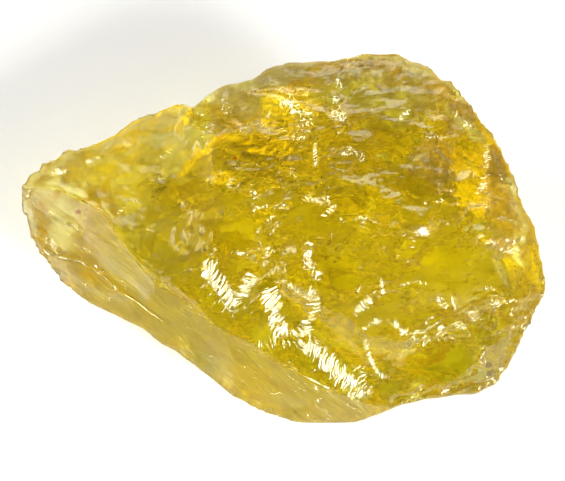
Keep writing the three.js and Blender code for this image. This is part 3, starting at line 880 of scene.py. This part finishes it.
def break_depth(at):
    """How deep the surface is broken at each point, in mm."""
    grain = folds("grain", at.points)
    ribs = folds("ribs", sheet(*at.on_ribs))
    foiled = np.maximum(at.shoulder, at.hidden)
    depth = at.rough * (1 - at.crumpled) * (1 - 0.7 * at.scoops) * ledge_depth(at)
    depth += at.rough * (0.25 + 0.65 * foiled) * folds("crumple", at.points)
    depth += at.rough * grain
    depth += at.bevel * at.inner * (ribs + 0.25 * grain)
    depth += at.rough * at.crumpled * folds("foil", at.points)
    worn = 1.3 * ramp(layered("worn", at.points), -0.25, 0.9)
    depth = depth * (1 - at.under) + worn * at.under
    return np.minimum(depth, DEEPEST * at.thickness)


def surface_frost(at):
    """The surface's roughness at each point."""
    frost = FROST
    for name, added in FROST_ADDED.items():
        frost = frost + added * getattr(at, name)
    frost = np.maximum(frost, HIDDEN_FROST * at.hidden)
    frost = frost + (RIM_FROST - frost) * at.rim
    return np.clip(frost * (1 - at.under) + UNDERSIDE_FROST * at.under, *FROST_LIMITS)


def surface_tint(at):
    """The colour that the surface passes at each point."""
    paler = at.bevel * (1 - 0.35 * ramp(at.right, -9.0, -3.0)) + 0.6 * at.shoulder
    golden = 1 - np.clip(paler, 0, 1)
    tint = PALE_TINT + golden[:, None] * (GOLDEN_TINT - PALE_TINT)
    tip = ramp(-at.right, *TIP)[:, None] * TIP_SHADE
    tint = tint * (1 - at.bevel[:, None] * (BEVEL_SHADE + tip))
    for share, other in ((at.pale, TAN_TINT), (at.lemon, LEMON_TINT)):
        tint = tint + share[:, None] * (other - tint)
    # Painted shade where less light passes, and painted light at the lemon facet.
    tint = tint * np.stack([at.passes ** power for power in DIMMING_POWERS], 1)
    tint = tint * (1 - 0.1 * at.shoulder)[:, None]
    tint = tint * (1 + at.rim[:, None] * (RIM_TINT - 1))
    for middle, half_width, half_height, colour in SPECKS:
        gone = gone_from(middle, half_width, half_height, at.right, at.up)
        here = ramp(-gone, *SPECK_EDGE) * at.seen_well
        tint = tint * (1 + here[:, None] * (np.array(colour) - 1))
    return tint


def write_looks(mesh, at, points):
    """Gives the mesh all that the material reads at each point."""
    opaque = np.ones((len(at.points), 1))
    write_layer(mesh, "tint", "FLOAT_COLOR", "color", np.append(surface_tint(at), opaque, 1))
    rough = at.rough * (1 - 0.4 * at.lower)
    film = at.rough * (1 - 0.6 * at.lower) * (0.4 + 0.6 * ramp(at.up, 3.0, 9.0))
    shares = {
        "rough": rough,
        "bevel": at.bevel,
        "crumpled": at.crumpled * rough,
        "film": film * (1 - 0.6 * at.shoulder),
        "ledged": rough * (1 - 0.7 * at.shoulder),
        "frost": surface_frost(at),
        "stepped": at.stepped,
        "crinkled": at.crinkled,
        "bright": at.bright,
    }
    for name, values in shares.items():
        write_layer(mesh, name, "FLOAT", "value", values)

    normals = read_normals(mesh)
    turned = turn_away(normals, "key", *KEY_TURN)
    turned += turn_away(normals, "fill", *FILL_TURN) * (1 - at.bevel[:, None])
    turned *= (1 - np.clip(at.stepped + at.bright, 0, 1))[:, None]
    vectors = {
        "lay": np.stack((*at.on_ledges, points @ TOWARD), 1),
        "ribs": np.stack((*at.on_ribs, points @ TOWARD), 1),
        "hackles": hackle_places(at.right, at.up),
        "turned": turned,
    }
    for name, values in vectors.items():
        write_layer(mesh, name, "FLOAT_VECTOR", "vector", values)


def crystal(node):
    """The stone, as a fine net of the node's shape with its steps and breaks."""
    mesh = even_net(node)
    refine(mesh)
    points = read_points(mesh)
    low, high = points.min(axis=0), points.max(axis=0)
    right, up = in_drawing(points)
    thickness = read_thickness(mesh, points, read_normals(mesh))
    points = round_off(mesh, points, thickness, right, up)

    normals = read_normals(mesh)
    at = survey(points, normals, thickness, right, up)
    crest = band_depth(BEVEL_RIDGE, RIDGE_WIDTH, right, up)[0]
    steps = at.steps + 0.1 * ramp(crest, -0.05, 0.25) * at.seen_well
    points = points - normals * break_depth(at)[:, None] + steps[:, None] * TOWARD
    points = np.clip(points, low, high)
    write_points(mesh, points)
    mesh.polygons.foreach_set("use_smooth", [True] * len(mesh.polygons))
    write_looks(mesh, at, points)
    piece = bpy.data.objects.new("topaz_crystal", mesh)
    bpy.context.scene.collection.objects.link(piece)
    return piece


class Graph:
    """A material's nodes and links. Each method adds nodes and gives the last one's output."""

    def __init__(self, material):
        material.use_nodes = True
        self.nodes = material.node_tree.nodes
        self.link = material.node_tree.links.new

    def read(self, name, output):
        """What the mesh has at each point under a name."""
        node = self.nodes.new("ShaderNodeAttribute")
        node.attribute_name = name
        return node.outputs[output]

    def calculate(self, operation, *values):
        node = self.nodes.new("ShaderNodeMath")
        node.operation = operation
        for socket, value in zip(node.inputs, values):
            if isinstance(value, bpy.types.NodeSocket):
                self.link(value, socket)
            else:
                socket.default_value = value
        return node.outputs["Value"]

    def times(self, product, *values):
        for value in values:
            product = self.calculate("MULTIPLY", product, value)
        return product

    def minus(self, value, taken):
        return self.calculate("SUBTRACT", value, taken)

    def texture(self, name, vector):
        """Named noise, 0 to 1."""
        stretch, scale, detail, kind = TEXTURES[name]
        if stretch:
            stretched = self.nodes.new("ShaderNodeVectorMath")
            stretched.operation = "MULTIPLY"
            self.link(vector, stretched.inputs[0])
            stretched.inputs[1].default_value = stretch
            vector = stretched.outputs["Vector"]
        node = self.nodes.new("ShaderNodeTexNoise")
        node.noise_type = kind
        node.inputs["Scale"].default_value = scale
        node.inputs["Detail"].default_value = detail
        self.link(vector, node.inputs["Vector"])
        return node.outputs["Fac"]

    def thin_lines(self, noise, height, sharpness):
        """Lines with a height, where the noise is at the middle of its range."""
        gone = self.calculate("ABSOLUTE", self.minus(noise, 0.5))
        return self.minus(height, self.times(gone, sharpness))

    def mix(self, kind, blend, share, first, second):
        """From the first value to its blend with the second, as the share rises."""
        node = self.nodes.new("ShaderNodeMix")
        node.data_type = kind
        node.blend_type = blend
        first_input, second_input, output = MIX_SOCKETS[kind]
        self.link(share, node.inputs["Factor"])
        self.link(first, node.inputs[first_input])
        node.inputs[second_input].default_value = second
        return node.outputs[output]

    def shade(self, name, share, colour):
        """The colour, multiplied by a named shade where the share is high."""
        low, high, shade = SHADES[name]
        ranged = self.nodes.new("ShaderNodeMapRange")
        ranged.interpolation_type = "SMOOTHSTEP"
        self.link(share, ranged.inputs["Value"])
        ranged.inputs["From Min"].default_value = low
        ranged.inputs["From Max"].default_value = high
        return self.mix("RGBA", "MULTIPLY", ranged.outputs["Result"], colour, (*shade, 1))


def add_textures(graph, at):
    """Adds the noise that several of the stone's looks share, and the rows of fine ledges."""
    split = graph.nodes.new("ShaderNodeSeparateXYZ")
    graph.link(at.lay, split.inputs["Vector"])
    wander = graph.texture("wander", at.lay)
    row = graph.calculate("DIVIDE", split.outputs["Y"], BUMP_ROW)
    at.row = graph.calculate("ADD", row, graph.times(wander, BUMP_WANDER))
    at.chips = graph.texture("chips", at.lay)
    at.foil = graph.texture("foil", at.lay)
    at.veins = graph.texture("veins", at.ribs)


def fine_relief(graph, at):
    """The height in mm of fine ledges, grain, foil-like folds and the bevel's streaks."""
    chipped = graph.minus(at.chips, 0.3)
    ledges = graph.times(graph.calculate("FRACT", at.row), chipped, at.ledged, LEDGE_BUMP)
    grain = graph.times(graph.texture("grain", at.lay), at.rough, GRAIN_BUMP)
    grain = graph.calculate("ADD", grain, graph.times(at.foil, at.crumpled, FOIL_BUMP))
    streaks = graph.times(at.veins, at.bevel, STREAK_BUMP)
    return graph.calculate("ADD", graph.calculate("ADD", ledges, grain), streaks)


def shaded_colour(graph, at):
    """The tint, with painted shade under ledges, in folds and beside veins, where the fine relief
    is low, and darker between strands.
    """
    treads = graph.minus(1.0, graph.calculate("FRACT", at.row))
    steps = graph.times(graph.times(treads, at.ledged), graph.times(at.chips, 1.6))
    colour = graph.shade("steps", steps, at.tint)
    strands = graph.minus(1.2, graph.texture("strands", at.lay))
    colour = graph.shade("film", graph.times(strands, at.film), colour)
    folded = graph.times(graph.minus(1.1, at.foil), at.crumpled)
    colour = graph.shade("folds", folded, colour)
    veined = graph.times(graph.minus(1.0, at.veins), at.bevel)
    return graph.shade("veins", veined, colour)


def flashing(graph, at):
    """How much places flash together, 0 to 1: grooved bands, curled lines in and round the
    crinkled clusters, threads on the bevel and worn ridges."""
    grooves = graph.times(graph.texture("grooves", at.hackles), GROOVE_CONTRAST)
    treads = graph.times(at.stepped, graph.minus(grooves, GROOVE_LEVEL))
    curls = graph.thin_lines(graph.texture("curls", at.lay), *CURL_LINES)
    scattered = graph.times(at.film, at.chips, SCATTERED_CURLS)
    curls = graph.times(graph.calculate("MAXIMUM", at.crinkled, scattered), curls)
    threads = graph.thin_lines(graph.texture("threads", at.ribs), *THREAD_LINES)
    threads = graph.times(graph.times(threads, at.bevel), graph.times(at.chips, 2.0))
    flash = graph.minus(treads, FLASH_START)
    for more in (curls, threads):
        flash = graph.calculate("MAXIMUM", flash, graph.minus(more, FLASH_START))
    worn = graph.minus(graph.times(at.bright, 0.7), 0.05)
    flash = graph.times(graph.calculate("MAXIMUM", flash, worn), FLASH_GAIN)
    return graph.calculate("MINIMUM", graph.calculate("MAXIMUM", flash, 0.0), FLASH_MOST)


def shading_normal(graph, at, flash):
    """The normal, turned away from the lights, except that all that flashes faces one way."""
    calmed = graph.nodes.new("ShaderNodeVectorMath")
    geometry = graph.nodes.new("ShaderNodeNewGeometry")
    graph.link(geometry.outputs["Normal"], calmed.inputs[0])
    graph.link(at.turned, calmed.inputs[1])
    way = mirror_way("key")
    cleaved = graph.mix("VECTOR", "MIX", flash, calmed.outputs["Vector"], way)
    bump = graph.nodes.new("ShaderNodeBump")
    bump.inputs["Strength"].default_value = 1.0
    bump.inputs["Distance"].default_value = MM
    graph.link(fine_relief(graph, at), bump.inputs["Height"])
    graph.link(cleaved, bump.inputs["Normal"])
    return bump.outputs["Normal"]


def crystal_material():
    material = bpy.data.materials.new("topaz")
    graph = Graph(material)
    at = SimpleNamespace()
    for output, names in POINT_VALUES.items():
        for name in names:
            setattr(at, name, graph.read(name, output))
    add_textures(graph, at)
    shader = graph.nodes["Principled BSDF"]
    shader.inputs["Transmission Weight"].default_value = 1.0
    shader.inputs["IOR"].default_value = REFRACTION
    shader.inputs["Specular Tint"].default_value = (*GLINT_TINT, 1)
    graph.link(shaded_colour(graph, at), shader.inputs["Base Color"])
    flash = flashing(graph, at)
    smoother = graph.times(flash, graph.minus(STEP_FROST, at.frost))
    graph.link(graph.calculate("ADD", at.frost, smoother), shader.inputs["Roughness"])
    graph.link(shading_normal(graph, at, flash), shader.inputs["Normal"])
    depth = graph.nodes.new("ShaderNodeVolumeAbsorption")
    depth.inputs["Color"].default_value = (*DEPTH_COLOUR, 1)
    depth.inputs["Density"].default_value = DEPTH_DENSITY
    graph.link(depth.outputs["Volume"], graph.nodes["Material Output"].inputs["Volume"])
    return material


def make_floor():
    bpy.ops.mesh.primitive_plane_add(size=FLOOR_SIDE)
    floor = bpy.context.object
    floor.name = "floor"
    material = bpy.data.materials.new("floor")
    material.use_nodes = True
    shader = material.node_tree.nodes["Principled BSDF"]
    shader.inputs["Base Color"].default_value = (*FLOOR_COLOUR, 1)
    shader.inputs["Roughness"].default_value = FLOOR_ROUGHNESS
    floor.data.materials.append(material)


def make_light(name, azimuth, elevation, distance, side, power):
    """A soft square light round the stone, aimed at it."""
    data = bpy.data.lights.new(name, "AREA")
    data.size = side
    data.energy = power
    light = bpy.data.objects.new(name, data)
    bpy.context.scene.collection.objects.link(light)
    away = Vector(way_to(azimuth, elevation))
    light.location = CAMERA_AIM + away * distance
    light.rotation_euler = away.to_track_quat("Z", "Y").to_euler()


def make_world():
    world = bpy.data.worlds.new("World")
    bpy.context.scene.world = world
    world.use_nodes = True
    sky = world.node_tree.nodes["Background"]
    sky.inputs["Color"].default_value = (*SKY_COLOUR, 1)
    sky.inputs["Strength"].default_value = SKY_STRENGTH


def render_settings():
    scene = bpy.context.scene
    scene.view_settings.view_transform = "Standard"
    scene.cycles.use_denoising = True
    scene.cycles.max_bounces = 16
    scene.cycles.transmission_bounces = 14
    scene.cycles.glossy_bounces = 6
    scene.cycles.diffuse_bounces = 4
    scene.cycles.sample_clamp_indirect = 6.0


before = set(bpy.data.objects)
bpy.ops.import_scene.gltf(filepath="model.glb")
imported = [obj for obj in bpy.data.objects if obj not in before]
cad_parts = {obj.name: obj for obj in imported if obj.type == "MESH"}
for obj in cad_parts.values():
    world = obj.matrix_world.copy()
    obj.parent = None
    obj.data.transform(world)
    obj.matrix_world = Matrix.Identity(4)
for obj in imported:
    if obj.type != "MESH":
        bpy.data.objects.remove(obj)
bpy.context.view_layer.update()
make_camera()

stone = crystal(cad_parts["topaz"])
stone.data.materials.append(crystal_material())
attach(stone, "root")
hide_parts("topaz")

make_floor()
make_world()
for name, light in LIGHTS.items():
    make_light(name, *light)
render_settings()
